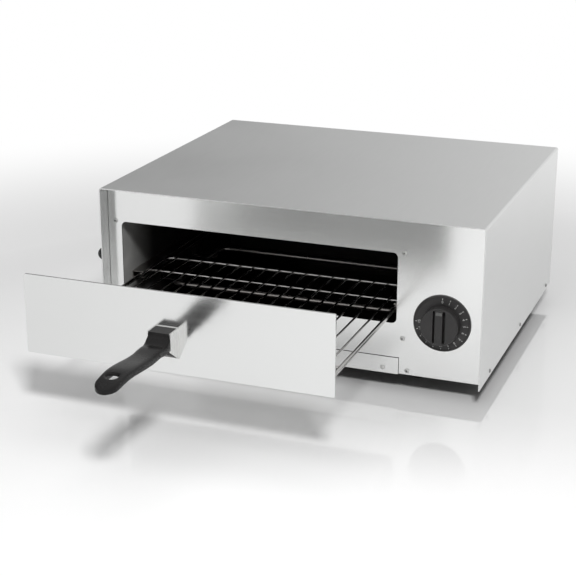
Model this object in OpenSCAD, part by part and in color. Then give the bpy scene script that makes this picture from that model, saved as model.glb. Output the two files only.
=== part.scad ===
// Countertop electric pizza oven: a stainless case with a recessed front,
// a pull-out wire rack carried by the door panel, a crumb tray and a timer.
// Millimetres. The modules measure Z from the lower edge of the case and
// Y from the middle of its depth; placed() moves them to the part's origin,
// which lies on the table under the middle of the whole oven, drawer out.

/* [Case] */
// Width of the control bay, from the opening to the cover's right side
control_w = 104; // [98:1:140]
// Depth over the cover, without the door and handle
case_d = 402; // [385:1:460]
// Height of the cover from its lower edge
case_h = 190; // [185:1:240]
// How far the cover stands forward of the front panel
lip = 19; // [17.5:0.5:30]
// Thickness of the outer sheet metal
sheet_t = 1.2; // [1:0.1:1.6]
// Outer radius of the cover's two folds
fold_r = 2.6; // [2:0.1:6]
// Height of the rubber feet
foot_h = 23; // [10:1:30]
// Diameter of a foot where it meets the base
foot_d = 20; // [16:1:30]
// Distance of the feet from the cover's sides
foot_inset_x = 91; // [40:1:110]
// Distance of the feet from the cover's front and rear edges
foot_inset_y = 75; // [34:1:90]

/* [Oven opening] */
// Width of the opening in the front panel
opening_w = 347.2; // [300:0.4:350]
// Height of the opening
opening_h = 84.5; // [78:0.5:88]
// Distance from the cover's left side to the opening
opening_inset = 18.8; // [18.4:0.2:24]
// Height of the opening's sill above the case's lower edge
opening_z = 61; // [60:0.5:65]
// Corner radius of the opening
opening_r = 6; // [3:0.5:12]
// How far the oven walls stand back from the opening's edge
liner_gap = 3; // [2:0.5:4]
// Thickness of the oven walls and shields
liner_t = 0.8; // [0.6:0.1:1.2]
// Width of the flanges that join the sheets
flange = 11; // [10:0.5:14]

/* [Drawer] */
// How far the drawer stands open at rest
pull_out = 220; // [0:1:240]
// How far the door laps over the opening at the sides and the top
door_lap = 3; // [2:0.5:5]
// How far the door laps over the opening's sill
door_sill_lap = 2; // [1.5:0.5:5]
// Thickness of the door panel
door_t = 2.4; // [1.2:0.1:3]
// Corner radius of the door panel
door_r = 2; // [1:0.5:5]
// Height of the rack's frame wire above the opening's sill
rack_lift = 9; // [7:0.5:12]
// Length of the rack, from the door to the rear wire
rack_l = 324; // [310:1:330]
// Diameter of the rack's frame wire
rack_wire_d = 5; // [4:0.1:6]
// Diameter of the rack's thin rods
rack_rod_d = 2.5; // [2:0.1:3]
// Number of thin rods
rack_rods = 18; // [12:2:20]
// Diameter of the two cross wires
rack_cross_d = 3; // [2.4:0.1:3.2]
// Radius of the frame wire's corners
rack_corner_r = 12; // [8:1:20]
// Gap from the rack's side wire to the oven wall
rack_side_gap = 9.5; // [7:0.5:10]
// Width of the rack guides
guide_w = 15; // [12:0.5:17]
// Distance of the guides behind the front panel
guide_setback = 29; // [20:1:40]
// Running gap between moving sheet metal and its guides
slide_gap = 0.3; // [0.25:0.05:0.6]

/* [Handle] */
// Width of the handle and its bracket
handle_w = 26.8; // [22:0.2:32]
// Length of the handle from the door
handle_l = 146; // [130:0.5:170]
// Distance of the handle to the left of the door's middle
handle_offset = 8.3; // [0:0.1:40]
// Height of the bracket's top above the case's lower edge
bracket_z = 111; // [106:0.5:116]
// Height of the bracket against the door
bracket_h = 34.4; // [30:0.2:38]
// Height of the bracket's front edge
bracket_front_h = 20.4; // [16:0.2:22]
// How far the bracket stands out from the door
bracket_d = 20; // [18:0.5:26]
// Thickness of the bracket's metal
bracket_t = 1.5; // [1.2:0.1:2]
// How far the grip dips below the bracket's top
grip_dip = 11.5; // [8:0.1:14]
// Thickness of the grip
grip_t = 9.5; // [8:0.1:13]
// Diameter of the hang hole
hang_hole_d = 13; // [8:0.5:14]
// Distance of the hang hole from the handle's tip
hang_hole_inset = 22.5; // [16:0.5:30]

/* [Timer] */
// Distance of the dial's centre to the right of the control bay's middle
dial_shift = 1.8; // [0:0.1:6]
// Height of the dial's centre above the case's lower edge
dial_z = 68.5; // [50:0.5:130]
// Diameter of the dial plate
dial_d = 66.8; // [60:0.2:72]
// Thickness of the dial plate
dial_t = 3; // [2.5:0.1:4]
// Diameter of the turning knob
knob_d = 44; // [36:1:50]
// How far the knob's face stands out from the front panel
knob_h = 17; // [14:0.5:17]
// Width of the grip bar
grip_w = 8.6; // [6:0.2:12]
// Diameter of the timer shaft
shaft_d = 6; // [5:0.1:7]

/* [Crumb tray] */
// Height of the tray's front strip
tray_front_h = 20; // [16:0.5:22]
// How far the front strip hangs below the case's lower edge
tray_drop = 1.2; // [0:0.2:2]
// Height of the tray's side walls
tray_wall_h = 16; // [10:0.5:18]
// Thickness of the tray's sheet
tray_t = 0.9; // [0.7:0.1:1.2]

/* [Heating elements] */
// Diameter of the tubular elements
element_d = 6.6; // [6:0.1:8]
// Height of the lower element's axis
lower_element_z = 44; // [32:1:50]
// Distance of the upper element's axis below the oven roof
upper_element_drop = 20; // [12:1:22]
// Distance from the oven's side walls to an element's loop
element_margin = 28; // [24:1:60]
// Depth of an element's loop
element_l = 158; // [120:1:200]
// Radius of an element's bends
element_bend_r = 14; // [10:1:20]

/* [Hidden] */

$fn = 48;
eps = 0.01;
touch = 0.05;      // gap between fixed pieces that seat against each other
fit = 0.3;         // gap between sheets that slip inside one another

case_w = opening_inset + opening_w + control_w;
half_w = case_w / 2;
foot_x = half_w - foot_inset_x;
foot_y = case_d / 2 - foot_inset_y;
inner_w = half_w - sheet_t;
inner_top = case_h - sheet_t;
front_y = lip - case_d / 2;
panel_back = front_y + sheet_t;
rear_y = case_d / 2;
back_face = rear_y - sheet_t - touch;

opening_x = opening_inset + opening_w / 2 - half_w;
opening_top = opening_z + opening_h;
liner_w = opening_w / 2 + liner_gap;
liner_top = opening_top + liner_gap;
rack_gap_behind = 13;
liner_back = front_y + rack_l + rack_wire_d / 2 + rack_gap_behind;

base_t = sheet_t;
base_flange_h = 14;
side_flange_z = base_flange_h + 2;

door_back = front_y - pull_out;
door_front = door_back - door_t;
door_w = opening_w + 2 * door_lap;
door_h = opening_h + door_lap + door_sill_lap;
door_z = opening_z - door_sill_lap;

rack_z = opening_z + rack_lift;
rack_half = liner_w - rack_side_gap - rack_wire_d / 2;
rack_end_gap = 0.85;   // gap outside the outermost rods, as a share of the pitch
rack_pitch = 2 * rack_half / (rack_rods - 1 + 2 * rack_end_gap);
clip_x = 6 * rack_pitch;
rack_clip_w = rack_pitch - rack_rod_d - 1;
rack_front_y = door_back + rack_wire_d / 2 + touch;
rack_rear_y = door_back + rack_l;
rod_lift = rack_wire_d / 2 - rack_rod_d / 2 - 0.25;
cross_drop = rack_wire_d / 2 - rack_cross_d / 2 - 0.2;
cross_share = 0.34;    // place of the cross wires, as a share of the rack's length
guide_floor = rack_z - rack_wire_d / 2 - slide_gap;
guide_roof = rack_z + rack_wire_d / 2 + slide_gap + 0.2;
guide_front = front_y + guide_setback;
guide_back = liner_back - 4;
guide_rivet_z = (guide_floor + guide_roof) / 2;
rivet_r = 1.6;

tray_w = liner_w - 1;
tray_front_w = liner_w + 0.6;
tray_bottom = base_t + slide_gap;
tray_front_t = 1;
tray_back = liner_back - 4;
slot_gap = 1;          // over the front strip
slot_side_gap = 0.7;   // beside it
slot_top = tray_front_h - tray_drop + slot_gap;
tray_rivet_x = 158.5;
tray_rivet_z = 6.5 - tray_drop;

handle_x = opening_x - handle_offset;
handle_screw_r = 2;
handle_screw_z = [bracket_z - 7, bracket_z - bracket_h + 14];
hang_hole_s = handle_l - hang_hole_inset;
hang_hole_top = bracket_z - 0.68 * grip_dip;
pocket_wall = 2.4;     // skin over the pocket
pocket_w = 17;
pocket_l = 21;

dial_x = half_w - control_w / 2 + dial_shift;
bush_r = 4.5;
shaft_r = shaft_d / 2;
run_fit = 0.05;
timer_r = 26;
timer_depth = 30;
timer_ear = 14;      // standard spacing of 28 mm
timer_plate = 30;
timer_screw_r = 1.9;
bell_r = 22;

element_r = element_d / 2;
element_y = front_y + rack_l / 2;
upper_element_z = liner_top - upper_element_drop;
element_w = 2 * (liner_w - element_margin);
element_in = 49;       // gap between an element's two ends
element_tail = 30;     // how far an element's ends stand out of the oven wall
element_end = opening_x + liner_w + element_tail;
shield_gap = 15;
shield_x = opening_x + liner_w + shield_gap;
bushing_r = 6.5;
bushing_in = 3;
bushing_out = 10;
clip_w = 12;
clip_t = 1;

screw_head_r = 3;
screw_head_h = 1.8;
cover_screw_h = 1.4;
foot_screw_r = 2;
cover_screw_z = 6.3;
cover_screw_y = [-case_d / 2 + 50, 11, case_d / 2 - 28];
panel_screw_x = liner_w + flange / 2 - 0.8;
slot_half = tray_front_w + slot_side_gap;
corner_screw_x = slot_half + 0.75 * (opening_w / 2 + opening_inset - sheet_t - slot_half);
corner_screw_z = 4.8;
panel_screws_at = [
    [-panel_screw_x, opening_top + 0.7], [panel_screw_x, opening_top + 0.7],
    [-panel_screw_x, opening_z - 17.3], [panel_screw_x, opening_z - 17.3],
    [-corner_screw_x, corner_screw_z], [corner_screw_x, corner_screw_z]
];
back_screw_z = [case_h * 0.22, case_h * 0.8];

bumper_r = 8;
bumper_h = 9;
bumper_y = -case_d / 2 + 10;
bumper_z = 105.5;
gland_x = dial_x - 10.3;
gland_z = 40;
gland_r = 8;
cord_hole_r = 4.8;

// The part's origin, under the middle of the box round the whole oven
origin_x = (cover_screw_h + touch - bumper_h) / 2;
gland_out = 8;
origin_y = (rear_y + gland_out + door_front - handle_l) / 2;

module placed() { translate([-origin_x, -origin_y, foot_h]) children(); }

// A box from its two corners
module block(a, b) { translate(a) cube(b - a); }

// A rod along X, Y or Z from one end
module rod_x(x0, x1, y, z, r) { translate([x0, y, z]) rotate([0, 90, 0]) cylinder(r = r, h = x1 - x0); }
module rod_y(x, y0, y1, z, r) { translate([x, y0, z]) rotate([-90, 0, 0]) cylinder(r = r, h = y1 - y0); }
module rod_z(x, y, z0, z1, r) { translate([x, y, z0]) cylinder(r = r, h = z1 - z0); }

// A square with round corners, from its lower left corner
module round_rect(w, h, r) {
    translate([r, 0]) square([w - 2 * r, h]);
    translate([0, r]) square([w, h - 2 * r]);
    for (x = [r, w - r], y = [r, h - r]) translate([x, y]) circle(r);
}

// A plate in the X-Z plane, front face at y
module plate_xz(x0, z0, w, h, y, t, r) {
    translate([x0, y + t, z0]) rotate([90, 0, 0]) linear_extrude(t) round_rect(w, h, r);
}

// A quarter bend of a tube about (x, y), from angle a
module bend(x, y, z, R, r, a) {
    translate([x, y, z]) rotate([0, 0, a]) rotate_extrude(angle = 90) translate([R, 0]) circle(r);
}

// A dome head that points to -Y, seated at y
module dome_y(x, y, z, r, h) {
    ball = (r * r + h * h) / (2 * h);
    intersection() {
        translate([x, y - h + ball, z]) sphere(ball);
        block([x - r - 1, y - h - 1, z - r - 1], [x + r + 1, y, z + r + 1]);
    }
}

// A slot through a plate in the X-Z plane, centred on (x, z)
module slot_y(x, z, w, h, y0, y1) {
    block([x - w / 2 + h / 2, y0, z - h / 2], [x + w / 2 - h / 2, y1, z + h / 2]);
    for (s = [-1, 1]) rod_y(x + s * (w - h) / 2, y0, y1, z, h / 2);
}

// The U-shaped wrap: top, two sides, turned-in rear flanges
module outer_cover() {
    color("lightgray") difference() {
        union() {
            translate([0, rear_y, 0]) rotate([90, 0, 0]) linear_extrude(case_d) difference() {
                cover_outline(half_w, case_h, fold_r);
                cover_outline(inner_w, inner_top, fold_r - sheet_t);
            }
            for (s = [-1, 1])
                block([min(s * (inner_w + eps), s * (inner_w - flange)), rear_y - sheet_t, side_flange_z],
                      [max(s * (inner_w + eps), s * (inner_w - flange)), rear_y, inner_top]);
            block([-inner_w, rear_y - sheet_t, inner_top - flange], [inner_w, rear_y, inner_top + eps]);
        }
        for (s = [-1, 1], y = cover_screw_y)
            rod_x(s * half_w - 5, s * half_w + 5, y, cover_screw_z, 1.9);
        for (s = [-1, 1], z = back_screw_z)
            rod_y(s * (inner_w - flange / 2), rear_y - 5, rear_y + 1, z, 1.9);
    }
}

module cover_outline(w, h, r) {
    translate([-w, 0]) square([2 * w, h - r]);
    translate([-w + r, 0]) square([2 * w - 2 * r, h]);
    for (s = [-1, 1]) translate([s * (w - r), h - r]) circle(r);
}

// The recessed front with the oven opening, the tray slot and the timer hole
module front_panel() {
    w = inner_w - fit;
    color("gainsboro") difference() {
        union() {
            translate([0, panel_back, 0]) rotate([90, 0, 0]) linear_extrude(sheet_t)
                cover_outline(w, inner_top - fit, fold_r);
            for (s = [-1, 1])
                block([min(s * w, s * (w - sheet_t)), panel_back - eps, side_flange_z],
                      [max(s * w, s * (w - sheet_t)), panel_back + flange, inner_top - fit - fold_r]);
            block([-w + fold_r, panel_back - eps, inner_top - fit - sheet_t],
                  [w - fold_r, panel_back + flange, inner_top - fit]);
        }
        plate_xz(opening_x - opening_w / 2, opening_z, opening_w, opening_h, front_y - 1, sheet_t + 2, opening_r);
        block([opening_x - slot_half, front_y - 1, -1], [opening_x + slot_half, panel_back + 1, slot_top]);
        rod_y(dial_x, front_y - 1, panel_back + 1, dial_z, bush_r + touch);
        for (s = [-1, 1]) rod_y(dial_x + s * timer_ear, front_y - 1, panel_back + 1, dial_z, timer_screw_r + touch);
        for (p = panel_screws_at) rod_y(opening_x + p[0], front_y - 1, panel_back + 1, p[1], 1.9);
    }
}

// The floor of the case, with upturned sides and vent slots
module base_pan() {
    w = inner_w - fit;
    y0 = panel_back + fit;
    y1 = back_face - sheet_t - fit;
    color("silver") difference() {
        union() {
            block([-w, y0, 0], [w, y1, base_t]);
            for (s = [-1, 1])
                block([min(s * w, s * (w - base_t)), y0, 0], [max(s * w, s * (w - base_t)), y1, base_flange_h]);
            for (s = [-1, 1])
                block([opening_x + s * corner_screw_x - 3, y0, 0],
                      [opening_x + s * corner_screw_x + 3, y0 + base_t, base_flange_h - 2]);
        }
        for (s = [-1, 1], y = cover_screw_y)
            rod_x(s * half_w - 5, s * half_w + 5, y, cover_screw_z, 1.7);
        for (s = [-1, 1]) rod_y(opening_x + s * corner_screw_x, y0 - 1, y0 + base_t + 1, corner_screw_z, 1.9);
        for (sx = [-1, 1], sy = [-1, 1]) rod_z(sx * foot_x, sy * foot_y, -1, base_t + 1, foot_screw_r + touch);
        for (k = [0:6]) translate([dial_x + 4, -60 + k * 20, 0])
            linear_extrude(3 * base_t, center = true) translate([-20, -2]) round_rect(40, 4, 1.9);
    }
}

// The rear wall, with louvre slots and the hole for the cord bushing
module back_panel() {
    w = inner_w - fit;
    color("silver") difference() {
        union() {
            translate([0, back_face, base_t + 0.2]) rotate([90, 0, 0]) linear_extrude(sheet_t)
                cover_outline(w, inner_top - fit - base_t - 0.2, fold_r);
            for (s = [-1, 1])
                block([min(s * w, s * (w - sheet_t)), back_face - flange, side_flange_z],
                      [max(s * w, s * (w - sheet_t)), back_face - eps, inner_top - fit - fold_r]);
        }
        for (row = [0, 1], k = [0:11])
            slot_y(opening_x - 132 + k * 24, case_h * 0.72 + row * 14, 18, 4, back_face - 4, back_face + 2);
        for (k = [0:3])
            slot_y(dial_x + 3, case_h * 0.52 + k * 12, 44, 4, back_face - 4, back_face + 2);
        rod_y(gland_x, back_face - 4, back_face + 2, gland_z, gland_r + touch);
        for (s = [-1, 1], z = back_screw_z)
            rod_y(s * (inner_w - flange / 2), back_face - 4, back_face + 2, z, 1.7);
    }
}

// The oven walls, roof and back in one folded sheet, open at the front and
// over the crumb tray
module oven_liner() {
    t = liner_t;
    y0 = panel_back + touch;
    foot_y0 = panel_back + 2;
    color("dimgray") difference() {
        union() {
            for (s = [-1, 1]) translate([opening_x, 0, 0]) {
                block([min(s * liner_w, s * (liner_w + t)), y0, slot_top],
                      [max(s * liner_w, s * (liner_w + t)), liner_back + t, liner_top + t]);
                block([min(s * liner_w, s * (liner_w + t)), foot_y0, base_t + touch],
                      [max(s * liner_w, s * (liner_w + t)), liner_back + t, slot_top + eps]);
                block([min(s * liner_w, s * (liner_w + flange)), foot_y0 + 4, base_t + touch],
                      [max(s * liner_w, s * (liner_w + flange)), liner_back, base_t + touch + t]);
                block([min(s * liner_w, s * (liner_w + flange)), y0, slot_top + 3],
                      [max(s * liner_w, s * (liner_w + flange)), y0 + t, liner_top + t]);
            }
            block([opening_x - liner_w - t, y0, liner_top], [opening_x + liner_w + t, liner_back + t, liner_top + t]);
            block([opening_x - liner_w - t, liner_back, base_t + touch],
                  [opening_x + liner_w + t, liner_back + t, liner_top + t]);
            block([opening_x - liner_w - t, y0, liner_top], [opening_x + liner_w + t, y0 + t, liner_top + flange]);
        }
        for (z = [lower_element_z, upper_element_z], y = element_ends())
            rod_x(opening_x + liner_w - 3, opening_x + liner_w + 4, y, z, bushing_r + touch);
        for (p = [0:3]) rod_y(opening_x + panel_screws_at[p][0], y0 - 1, y0 + 3, panel_screws_at[p][1], 1.9);
    }
}

function element_ends() = [element_y + element_l / 2, element_y + element_l / 2 - element_in];

// A channel on the oven wall that carries the rack's side wire and keeps
// the drawer level when it is pulled out; side is -1 or 1
module rack_guide(side) {
    wall = opening_x + side * (liner_w - touch);
    edge = wall - side * guide_w;
    x0 = min(wall, edge);
    x1 = max(wall, edge);
    web = wall - side * sheet_t;
    difference() {
        block([x0, guide_front, guide_floor - sheet_t], [x1, guide_back, guide_roof + sheet_t]);
        block([min(web, edge - side * 1), guide_front - 1, guide_floor],
              [max(web, edge - side * 1), guide_back + 1, guide_roof]);
        for (k = [0:2])
            rod_x(wall - 3, wall + 3, guide_rivet_y(k), guide_rivet_z, rivet_r + touch / 2);
    }
}

function guide_rivet_y(k) = guide_front + 20 + k * (guide_back - guide_front - 40) / 2;

module left_rack_guide() { color("silver") rack_guide(-1); }
module right_rack_guide() { color("silver") rack_guide(1); }

// Rivet heads in the guides' channels
module guide_rivets() {
    color("silver") for (s = [-1, 1], k = [0:2]) {
        web = s * (liner_w - touch - sheet_t);
        translate([opening_x + web, guide_rivet_y(k), guide_rivet_z]) rotate([0, 0, -s * 90]) {
            dome_y(0, 0, 0, 2.4, 1);
            rod_y(0, -eps, sheet_t, 0, rivet_r);
        }
    }
}

// A tubular element: one bent tube whose two ends leave through the
// oven's right wall, with a terminal pin on each
module tube_element(z) {
    r = element_r;
    R = element_bend_r;
    x0 = opening_x - element_w / 2;
    x1 = opening_x + element_w / 2;
    y0 = element_y - element_l / 2;
    ends = element_ends();
    y1 = ends[0];
    y2 = ends[1];
    rod_x(x0 + R, element_end, y1, z, r);
    bend(x0 + R, y1 - R, z, R, r, 90);
    rod_y(x0, y0 + R, y1 - R, z, r);
    bend(x0 + R, y0 + R, z, R, r, 180);
    rod_x(x0 + R, x1 - R, y0, z, r);
    bend(x1 - R, y0 + R, z, R, r, 270);
    rod_y(x1, y0 + R, y2 - R, z, r);
    bend(x1 + R, y2 - R, z, R, r, 90);
    rod_x(x1 + R, element_end, y2, z, r);
    for (y = ends) {
        rod_x(element_end - eps, element_end + 3, y, z, r * 0.7);
        rod_x(element_end, element_end + 11, y, z, 1.6);
    }
}

module lower_element() { color("slategray") tube_element(lower_element_z); }
module upper_element() { color("slategray") tube_element(upper_element_z); }

// Folded strips that carry the elements from the oven's left wall
module element_clips() {
    color("silver") for (z = [lower_element_z, upper_element_z], s = [-1, 1]) {
        y = element_y + s * element_l * 0.32;
        wall = opening_x - liner_w + touch;
        tip = opening_x - element_w / 2 + element_r + touch;
        top = z - element_r - touch;
        block([wall, y - clip_w / 2, top - clip_t], [tip + clip_t, y + clip_w / 2, top]);
        block([wall, y - clip_w / 2, top - clip_t], [wall + clip_t, y + clip_w / 2, z + 9]);
        block([tip, y - clip_w / 2, top - eps], [tip + clip_t, y + clip_w / 2, z + 1]);
    }
}

// Ceramic bushings where the elements pass through the oven wall
module element_bushings() {
    wall = opening_x + liner_w;
    color("ivory") for (z = [lower_element_z, upper_element_z], y = element_ends()) difference() {
        union() {
            rod_x(wall - bushing_in, wall + bushing_out, y, z, bushing_r);
            rod_x(wall + liner_t + touch, wall + liner_t + bushing_in, y, z, bushing_r + 2.5);
        }
        rod_x(wall - bushing_in - 1, wall + bushing_out + 1, y, z, element_r + touch);
    }
}

// The shield over the oven roof, a folded channel that stands on the roof
module top_heat_shield() {
    z0 = liner_top + liner_t + touch;
    z1 = (z0 + inner_top) / 2;
    x0 = opening_x - liner_w;
    x1 = opening_x + liner_w - 12;
    y0 = panel_back + flange + 4;
    y1 = liner_back - 4;
    color("silver") {
        block([x0, y0, z1 - liner_t], [x1, y1, z1]);
        for (y = [y0, y1 - liner_t]) block([x0, y, z0], [x1, y + liner_t, z1 - eps]);
        for (y = [y0, y1 - 8]) block([x0, y, z0], [x1, y + 8, z0 + liner_t]);
    }
}

// The upright shield between the hot oven wall and the timer's bay
module side_heat_shield() {
    y0 = panel_back + flange + 4;
    y1 = liner_back;
    z0 = base_t + touch;
    z1 = inner_top - 12;
    color("silver") difference() {
        union() {
            block([shield_x, y0, z0], [shield_x + liner_t, y1, z1]);
            block([shield_x, y0, z0], [shield_x + flange, y1, z0 + liner_t]);
        }
        for (z = [lower_element_z, upper_element_z], y = element_ends())
            rod_x(shield_x - 3, shield_x + 4, y, z, 9);
    }
}

// A snap-disc cut-out on the oven's outer wall
module thermal_cutout() {
    x = opening_x + liner_w + liner_t + touch;
    y = element_y - 60;
    z = liner_top - 22;
    color("saddlebrown") {
        rod_x(x, x + 3, y, z, 9);
        rod_x(x + 2, x + 9, y, z, 7);
        for (s = [-1, 1]) block([x + 8, y + s * 4 - 2.5, z - 0.4], [x + 13, y + s * 4 + 2.5, z + 0.4]);
        for (s = [-1, 1]) rod_x(x, x + 1, y, z + s * 12, 4);
        block([x, y - 4, z - 12], [x + 1, y + 4, z + 12]);
    }
}

// The terminal block where the supply meets the oven's wiring
module terminal_block() {
    x0 = gland_x - 12;
    y0 = back_face - 70;
    z0 = base_t + touch;
    color("white") difference() {
        union() {
            block([x0, y0, z0], [x0 + 40, y0 + 20, z0 + 10]);
            for (k = [0:3]) block([x0 + k * 12.8, y0, z0 + 9], [x0 + k * 12.8 + 1.6, y0 + 20, z0 + 17]);
        }
        for (k = [0:2], y = [5, 15]) rod_z(x0 + 7.2 + k * 12.8, y0 + y, z0 + 6, z0 + 11, 2);
    }
}

// The clockwork timer: a can with a mounting strap and a threaded bush
module timer_body() {
    y0 = panel_back + touch;
    color("lightgray") difference() {
        union() {
            rod_y(dial_x, y0 + 1, y0 + timer_depth, dial_z, timer_r);
            block([dial_x - timer_plate, y0, dial_z - 12], [dial_x + timer_plate, y0 + 1.5, dial_z + 12]);
            rod_y(dial_x, front_y - dial_t + 0.4, y0 + 2, dial_z, bush_r);
        }
        rod_y(dial_x, front_y - dial_t - 1, y0 + 20, dial_z, shaft_r + run_fit);
        for (s = [-1, 1]) rod_y(dial_x + s * timer_ear, y0 - 1, y0 + 8, dial_z, timer_screw_r + touch);
    }
}

// The gong behind the timer, on its post
module timer_bell() {
    y0 = panel_back + touch + timer_depth + touch;
    wall = 1.2;
    color("goldenrod") translate([dial_x, y0, dial_z]) rotate([-90, 0, 0]) {
        cylinder(r = 3, h = 3 + bell_r * 0.65 - wall / 2);
        translate([0, 0, 3]) rotate_extrude() difference() {
            intersection() {
                translate([0, -bell_r * 0.45]) circle(bell_r * 1.1);
                square([bell_r * 1.1, 30]);
            }
            intersection() {
                translate([0, -bell_r * 0.45]) circle(bell_r * 1.1 - wall);
                translate([0, -1]) square([bell_r * 1.1, 30]);
            }
        }
    }
}

// Countersunk screws that hold the dial plate, the panel and the timer
module timer_screws() {
    y0 = front_y - dial_t + 0.6;
    color("silver") for (s = [-1, 1]) translate([dial_x + s * timer_ear, y0, dial_z]) {
        rotate([-90, 0, 0]) cylinder(r1 = timer_screw_r + 1.4, r2 = timer_screw_r, h = 1.4);
        rod_y(0, eps, 10, 0, timer_screw_r);
    }
}

// The fixed dial plate, with a raised rim
module dial_plate() {
    r = dial_d / 2;
    color("black") translate([dial_x, front_y, dial_z]) rotate([90, 0, 0]) difference() {
        rotate_extrude() polygon([
            [bush_r + touch, 0], [r, 0], [r, dial_t - 1.2], [r - 0.8, dial_t],
            [r - 2, dial_t], [r - 2.6, dial_t - 0.5], [bush_r + touch, dial_t - 0.5]
        ]);
        for (s = [-1, 1]) translate([s * timer_ear, 0, -1]) {
            cylinder(r = timer_screw_r + touch, h = dial_t + 2);
            translate([0, 0, dial_t - 1]) cylinder(r1 = timer_screw_r + touch, r2 = timer_screw_r + 3.05, h = 3);
        }
    }
}

// The shaft that the knob sits on; a flat on its end keys the knob
module timer_shaft() {
    y0 = front_y - knob_h + 5;
    color("silver") difference() {
        rod_y(dial_x, y0, panel_back + 19, dial_z, shaft_r);
        block([dial_x - shaft_r - 1, y0 - 1, dial_z + shaft_r - 1.2],
              [dial_x + shaft_r + 1, front_y - dial_t, dial_z + shaft_r + 1]);
    }
}

// The knob: a drum with two slots that leave a grip bar between them
module timer_knob() {
    r = knob_d / 2;
    base = dial_t + 0.4;
    face = knob_h - 1.5;
    slot_w = 3;
    slot_l = knob_d * 0.88;
    color("black") translate([dial_x, front_y, dial_z]) rotate([90, 0, 0]) difference() {
        union() {
            rotate_extrude() polygon([
                [0, base], [r, base], [r, face - 1], [r - 1, face], [0, face]
            ]);
            translate([0, 0, face - eps]) intersection() {
                translate([-grip_w / 2, -r, 0]) cube([grip_w, 2 * r, knob_h - face]);
                cylinder(r1 = r - 1.5, r2 = r - 2.5, h = knob_h - face);
            }
        }
        for (s = [-1, 1]) translate([s * (grip_w + slot_w) / 2, 0, face - 7]) {
            translate([-slot_w / 2, -slot_l / 2 + slot_w / 2, 0]) cube([slot_w, slot_l - slot_w, 10]);
            for (e = [-1, 1]) translate([0, e * (slot_l - slot_w) / 2, 0]) cylinder(d = slot_w, h = 10);
        }
        translate([0, 0, base - 1]) difference() {
            cylinder(r = shaft_r + touch / 2, h = knob_h - 5 - base + 1 + touch);
            translate([-shaft_r - 1, shaft_r - 1.2 + touch / 2, 0]) cube([2 * shaft_r + 2, 5, knob_h]);
        }
    }
}

// Rubber feet with a recess for the screw
module feet() {
    r = foot_d / 2;
    color("black") for (sx = [-1, 1], sy = [-1, 1]) translate([sx * foot_x, sy * foot_y, -foot_h])
        difference() {
            rotate_extrude() polygon([
                [0, 0], [r - 2.6, 0], [r - 1.6, 1], [r, foot_h - touch], [0, foot_h - touch]
            ]);
            translate([0, 0, -1]) cylinder(r = 4.2, h = foot_h - 3);
            cylinder(r = foot_screw_r + touch, h = foot_h + 1);
        }
}

module foot_screws() {
    color("silver") for (sx = [-1, 1], sy = [-1, 1]) {
        rod_z(sx * foot_x, sy * foot_y, -6, base_t, foot_screw_r);
        rod_z(sx * foot_x, sy * foot_y, -6.2, -4 - touch, 3.8);
    }
}

// Screws through the cover's sides into the base, three a side
module cover_screws() {
    color("dimgray") for (s = [-1, 1], y = cover_screw_y)
        translate([s * half_w, y, cover_screw_z]) rotate([0, 0, s * 90]) {
            dome_y(0, -touch, 0, 2.6, cover_screw_h);
            rod_y(0, -touch - eps, 7, 0, 1.6);
        }
}

module back_screws() {
    color("silver") for (s = [-1, 1], z = back_screw_z)
        translate([s * (inner_w - flange / 2), rear_y, z]) rotate([0, 0, 180]) {
            dome_y(0, -touch, 0, screw_head_r, screw_head_h);
            rod_y(0, -touch - eps, 6, 0, 1.6);
        }
}

module panel_screws() {
    color("gainsboro") for (p = panel_screws_at) {
        dome_y(opening_x + p[0], front_y - touch, p[1], screw_head_r, screw_head_h);
        rod_y(opening_x + p[0], front_y - touch - eps, front_y + 6, p[1], 1.6);
    }
}

// A domed rubber button on the left side, near the front edge
module side_bumper() {
    color("black") translate([-half_w - touch, bumper_y, bumper_z]) rotate([0, 0, -90]) {
        dome_y(0, -3, 0, bumper_r - 0.4, bumper_h - 3 - touch);
        rod_y(0, -3 - eps, 0, 0, bumper_r);
    }
}

// The snap-in bushing that the supply cord passes through
module cord_bushing() {
    y0 = back_face - sheet_t - 5;
    y1 = rear_y + gland_out;
    color("black") translate([gland_x, 0, gland_z]) difference() {
        union() {
            rod_y(0, y0, y1 - 4, 0, gland_r);
            rod_y(0, back_face + touch, back_face + 4, 0, gland_r + 3.5);
            translate([0, y1 - 4 - eps, 0]) rotate([-90, 0, 0]) cylinder(r1 = gland_r, r2 = gland_r - 1.5, h = 4);
        }
        rod_y(0, y0 - 1, y1 + 1, 0, cord_hole_r);
    }
}

// The flat stainless door
module door_panel() {
    color("gainsboro") difference() {
        plate_xz(opening_x - door_w / 2, door_z, door_w, door_h, door_front, door_t, door_r);
        for (z = handle_screw_z) rod_y(handle_x, door_front - 1, door_back + 1, z, handle_screw_r + touch);
    }
}

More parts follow.
